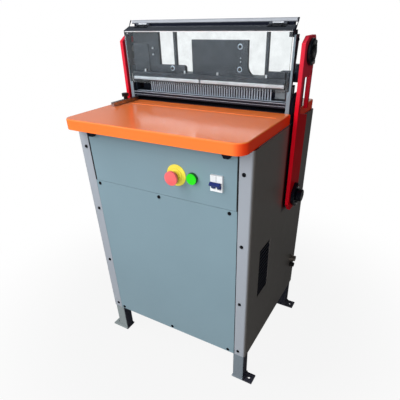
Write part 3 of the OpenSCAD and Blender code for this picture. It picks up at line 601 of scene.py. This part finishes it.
def turned(shape, profile, place, steps=32):
    """Adds a turned form: profile points are (radius, height) in mm, spun round the place's own Z."""
    before = set(shape.verts)
    points = [shape.verts.new((r * MM, 0, h * MM)) for r, h in profile]
    rims = [shape.edges.new(pair) for pair in zip(points, points[1:])]
    bmesh.ops.spin(shape, geom=points + rims, cent=(0, 0, 0), axis=(0, 0, 1), angle=math.tau, steps=steps,
                   use_merge=True)
    fresh = [v for v in shape.verts if v not in before]
    bmesh.ops.remove_doubles(shape, verts=fresh, dist=1e-7)
    fresh = [v for v in shape.verts if v not in before]
    bmesh.ops.transform(shape, matrix=place, verts=fresh)
    faces = [f for f in shape.faces if f.verts[0] in set(fresh)]
    bmesh.ops.recalc_face_normals(shape, faces=faces)


def at(x, y, z, towards):
    """Place in mm whose own Z points along the given direction."""
    turn = Vector(towards).to_track_quat("Z", "Y").to_matrix().to_4x4()
    return Matrix.Translation(Vector((x, y, z)) * MM) @ turn


def washer(shape, place, bore, radius, thick):
    """Adds a flat ring with a broken edge."""
    turned(shape, [(bore, 0), (radius, 0), (radius, thick - 0.3), (radius - 0.3, thick), (bore, thick)],
           place, 28)


def hex_head(shape, place, across, height, ring):
    """Adds a chamfered hexagon head on a round washer."""
    seat = 1.6
    washer(shape, place, 0, ring, seat)
    before = set(shape.verts)
    made = bmesh.ops.create_cone(shape, cap_ends=True, segments=6, radius1=across * MM,
                                 radius2=across * MM, depth=height * MM)
    bmesh.ops.translate(shape, verts=made["verts"], vec=(0, 0, (seat + height / 2) * MM))
    top = [e for v in made["verts"] for e in v.link_edges
           if all(w.co.z > (seat - 0.1 + height) * MM for w in e.verts)]
    rounded(shape, list(set(top)), 0.14 * across, 2)
    bmesh.ops.transform(shape, matrix=place, verts=[v for v in shape.verts if v not in before])


def box(shape, low, high):
    """Adds a block between two corners in mm."""
    low, high = Vector(low) * MM, Vector(high) * MM
    made = bmesh.ops.create_cube(shape, size=1)["verts"]
    bmesh.ops.scale(shape, vec=high - low, verts=made)
    bmesh.ops.translate(shape, vec=(low + high) / 2, verts=made)


def socket_head(shape, place, radius, height):
    """Adds a domed screw head with a driving socket."""
    r = radius
    turned(shape, [(0, height * 0.45), (r * 0.42, height * 0.45), (r * 0.46, height * 0.98),
                   (r * 0.62, height), (r * 0.86, height * 0.72), (r, height * 0.25), (r, 0)], place, 24)


def screw_grid(shape, columns, y, rows, towards, radius, height):
    """Adds domed screw heads at every column and row of a face."""
    for x in columns:
        for z in rows:
            socket_head(shape, at(x, y, z, towards), radius, height)


def on_rim(edge):
    """Edges of a table's top face, without the guide slot."""
    slot_front, slot_back, just_below_top = -0.056, -0.046, 0.8845
    in_slot = all(slot_front < v.co.y < slot_back for v in edge.verts)
    return all(v.co.z > just_below_top for v in edge.verts) and not in_slot


# Build

place_camera()
hang_world()
hang_lamp("key_softbox", (-1.9, -2.6, 2.5), (0, 0, 0.7), (2.4, 2.4), 86)
hang_lamp("table_softbox", (-0.7, -0.7, 2.1), (0.0, -0.15, 0.88), (0.7, 0.7), 12)
hang_lamp("front_softbox", (0.9, -3.2, 1.5), (0, 0, 0.6), (1.6, 2.0), 52)
hang_lamp("side_softbox", (2.2, -1.2, 1.6), (0.3, -0.1, 0.8), (0.8, 0.8), 6)
lens_low, lens_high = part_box("indicator_lamp")
lens = (lens_low + lens_high) / 2
hang_lamp("lens_glow", (lens.x, lens_low.y - 0.03, lens.z), lens, (0.02, 0.02), 0.003, (0.15, 1, 0.3))
lay_floor()
finishes = mix_finishes()
own_finish = {"punch_pins": "pin_steel", "punch_side_left": "plate_blue", "punch_side_right": "plate_blue",
              "hinge_leaves": "hinge_leaf", "ram_gibs": "slate_paint", "legs": "leg_grey",
              "hinge_rail": "rail_silver"}
for name, item in nodes.items():
    for holder in item.material_slots:
        holder.material = finishes[own_finish.get(name, slot_of[name])]

for name in ("front_table", "rear_table"):
    eased(name, (3.5, 4, on_rim), (0.6, 2, any_edge))
for name, radius in {
    "legs": 0.8, "control_panel": 0.6, "access_panel": 0.6, "rear_panel": 0.6, "side_panel_left": 0.5,
    "side_panel_right": 0.5, "arm_left": 1.6, "arm_right": 1.6, "punch_side_left": 0.8,
    "punch_side_right": 0.8, "side_brackets": 0.8, "table_brackets": 0.8, "die_bed": 0.5,
    "throat_stop": 0.6, "ram_beam": 0.8, "pin_retainer": 0.5, "press_bars": 0.8, "ram_plate_left": 0.9,
    "ram_plate_center": 0.9, "ram_posts": 0.9, "ram_lugs": 0.8, "top_beam": 0.8, "hinge_rail": 0.8,
    "hinge_leaves": 0.4, "arm_bearings": 2.0, "crank_caps": 1.8, "side_guide": 0.7, "clamp_knob": 0.8,
    "estop_head": 1.2, "estop_ring": 0.5, "indicator_lamp": 1.2, "breaker_body": 0.7, "breaker_toggle": 0.9,
    "footswitch_socket": 1.0, "cable_gland": 0.8, "guard_cover": 0.5, "stub_axles": 0.8,
}.items():
    eased(name, (radius, 3, any_edge))

front_head, rear_head = (5.6, 2.8), (4.5, 2.6)
heads = bmesh.new()
screw_grid(heads, (-269, 269), FRONT_FACE, (148, 363, 578, 792), FORWARD, *front_head)
screw_grid(heads, (-240, -5, 230), FRONT_FACE, (138, 675), FORWARD, *front_head)
keep_piece(heads, "panel_screw_heads", "black_screws", "cabinet", "panel_screws")

heads = bmesh.new()
screw_grid(heads, (-238, 0, 238), REAR_FACE, (140, 490, 840), BACKWARD, *rear_head)
keep_piece(heads, "rear_screw_heads", "black_screws", "cabinet")

washers, bolts, caps = bmesh.new(), bmesh.new(), bmesh.new()
washer_thick = 1.6
for x, z in ((124, 1050), (124, 992), (-110, 987)):
    washer(washers, at(x, RAM_FRONT, z, FORWARD), 4, 7.4, washer_thick)
    socket_head(bolts, at(x, RAM_FRONT - washer_thick, z, FORWARD), 5.0, 4)
for x, z, radius in ((-182, 1042, 3), (-182, 1024, 3), (126, 1021, 1.8), (126, 1012, 1.8)):
    socket_head(caps, at(x, RAM_FRONT, z, FORWARD), radius, radius * 0.8)
cap_profile = [(0, 5), (1.7, 5), (1.7, 8), (3.1, 8), (3.5, 7.6), (3.5, 0)]
for x in (-216, -63, 53, 208):
    turned(caps, cap_profile, at(x, RAM_FRONT - 4, BEAM_TOP, UPWARD), 24)
keep_piece(washers, "ram_washers", "ground_steel", "ram", "ram_bolts", finish="pin_steel")
keep_piece(bolts, "ram_bolt_heads", "black_screws", "ram")
keep_piece(caps, "beam_cap_screws", "bright_aluminium", "ram")

arm_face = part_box("arm_right")[1].x / MM
top_flange, low_flange = arm_face + 10, arm_face + 12
bolts, rings, seals = bmesh.new(), bmesh.new(), bmesh.new()
for side in (-1, 1):
    out = (side, 0, 0)
    for flange, middle, reach in ((top_flange, PIVOT_Z, 23), (low_flange, CRANK_Z, 29)):
        for z in (middle - reach, middle + reach):
            hex_head(bolts, at(side * flange, PIVOT_Y, z, out), 5.5, 4, 7)
    hub = at(side * top_flange, PIVOT_Y, PIVOT_Z, out)
    turned(rings, [(10.2, 0), (10.2, 4.6), (12.8, 4.6), (13.6, 3.8), (13.6, 0)], hub, 40)
    turned(seals, [(14, 0), (14, 2.0), (14.6, 2.6), (16, 2.6), (16.6, 1.8), (16.8, 0)], hub, 40)
keep_piece(bolts, "bearing_bolt_heads", "ground_steel", "ram")
keep_piece(rings, "bearing_inner_rings", "ground_steel", "ram")
keep_piece(seals, "bearing_seals", "black_plastic", "ram")

guard_slope = (0, -0.3657, 0.9308)
heads = bmesh.new()
screw_grid(heads, (-239, -211, 211, 239), 25.3, (1100.1,), guard_slope, 2.4, 1.3)
keep_piece(heads, "hinge_screw_heads", "black_screws", "cover")

bracket_face, plate_face = 291, 285
heads = bmesh.new()
for side in (-1, 1):
    out = (side, 0, 0)
    for y, z in ((46, 906), (72, 906)):
        socket_head(heads, at(side * bracket_face, y, z, out), 5, 3)
    for y, z in ((18, 985), (20, 1030), (29, 1068)):
        socket_head(heads, at(side * plate_face, y, z, out), 4.5, 3.6)
keep_piece(heads, "side_plate_screw_heads", "black_screws", "cabinet")

edges = bmesh.new()
half_throat = 272
for y, z, depth, tall in ((31, 911.8, 1.6, 1.4), (13.2, 910.4, 1.0, 1.4), (13.2, 902.2, 0.8, 1.0)):
    box(edges, (-half_throat, y - depth / 2, z - tall / 2), (half_throat, y + depth / 2, z + tall / 2))
rounded(edges, edges.edges[:], 0.25, 2)
keep_piece(edges, "throat_edges", "ground_steel", "cabinet", finish="pin_steel")

# Painted reflection: the two alike cheeks take a dark finish on the left and a pale one on the right.
half_cheek = 26
for name, x, finish in (("left", -246, "blued_steel"), ("right", 246, "worn_steel")):
    cheek = bmesh.new()
    box(cheek, (x - half_cheek, 67, 911.5), (x + half_cheek, 75.8, 946))
    rounded(cheek, cheek.edges[:], 0.8, 2)
    keep_piece(cheek, "pin_guide_cheek_" + name, "blued_steel", "cabinet", finish=finish)

half_weld, foot_top, weld_top = 23, 6, 10
welds = bmesh.new()
for x in (-270, 270):
    for y in (-228, 228):
        box(welds, (x - half_weld, y - half_weld, foot_top), (x + half_weld, y + half_weld, weld_top))
top = [e for e in welds.edges if all(v.co.z > (weld_top - 1) * MM for v in e.verts)]
rounded(welds, top, 2.8, 3)
keep_piece(welds, "foot_welds", "frame_grey", "cabinet", finish="leg_grey")

# Painted shade: black strips fill the gaps beside the panels, where the gaps fall into shade.
gap_shade_strips = bmesh.new()
upper_panel, lower_panel = (685.5, 854), (128.5, 684.5)
for left, right, (low, high) in ((-255.4, -250.6, upper_panel), (250.6, 255.4, upper_panel),
                                 (253.4, 255.4, lower_panel)):
    box(gap_shade_strips, (left, FRONT_FACE - 0.4, low), (right, FRONT_FACE + 1.8, high))
keep_piece(gap_shade_strips, "panel_gap_shade_strips", "black_plastic", "cabinet")

seam = bmesh.new()
box(seam, (192.7, -256.3, 760.5), (193.3, -255.9, 778))
keep_piece(seam, "breaker_seam", "black_plastic", "cabinet")

scene.view_settings.view_transform = "Standard"
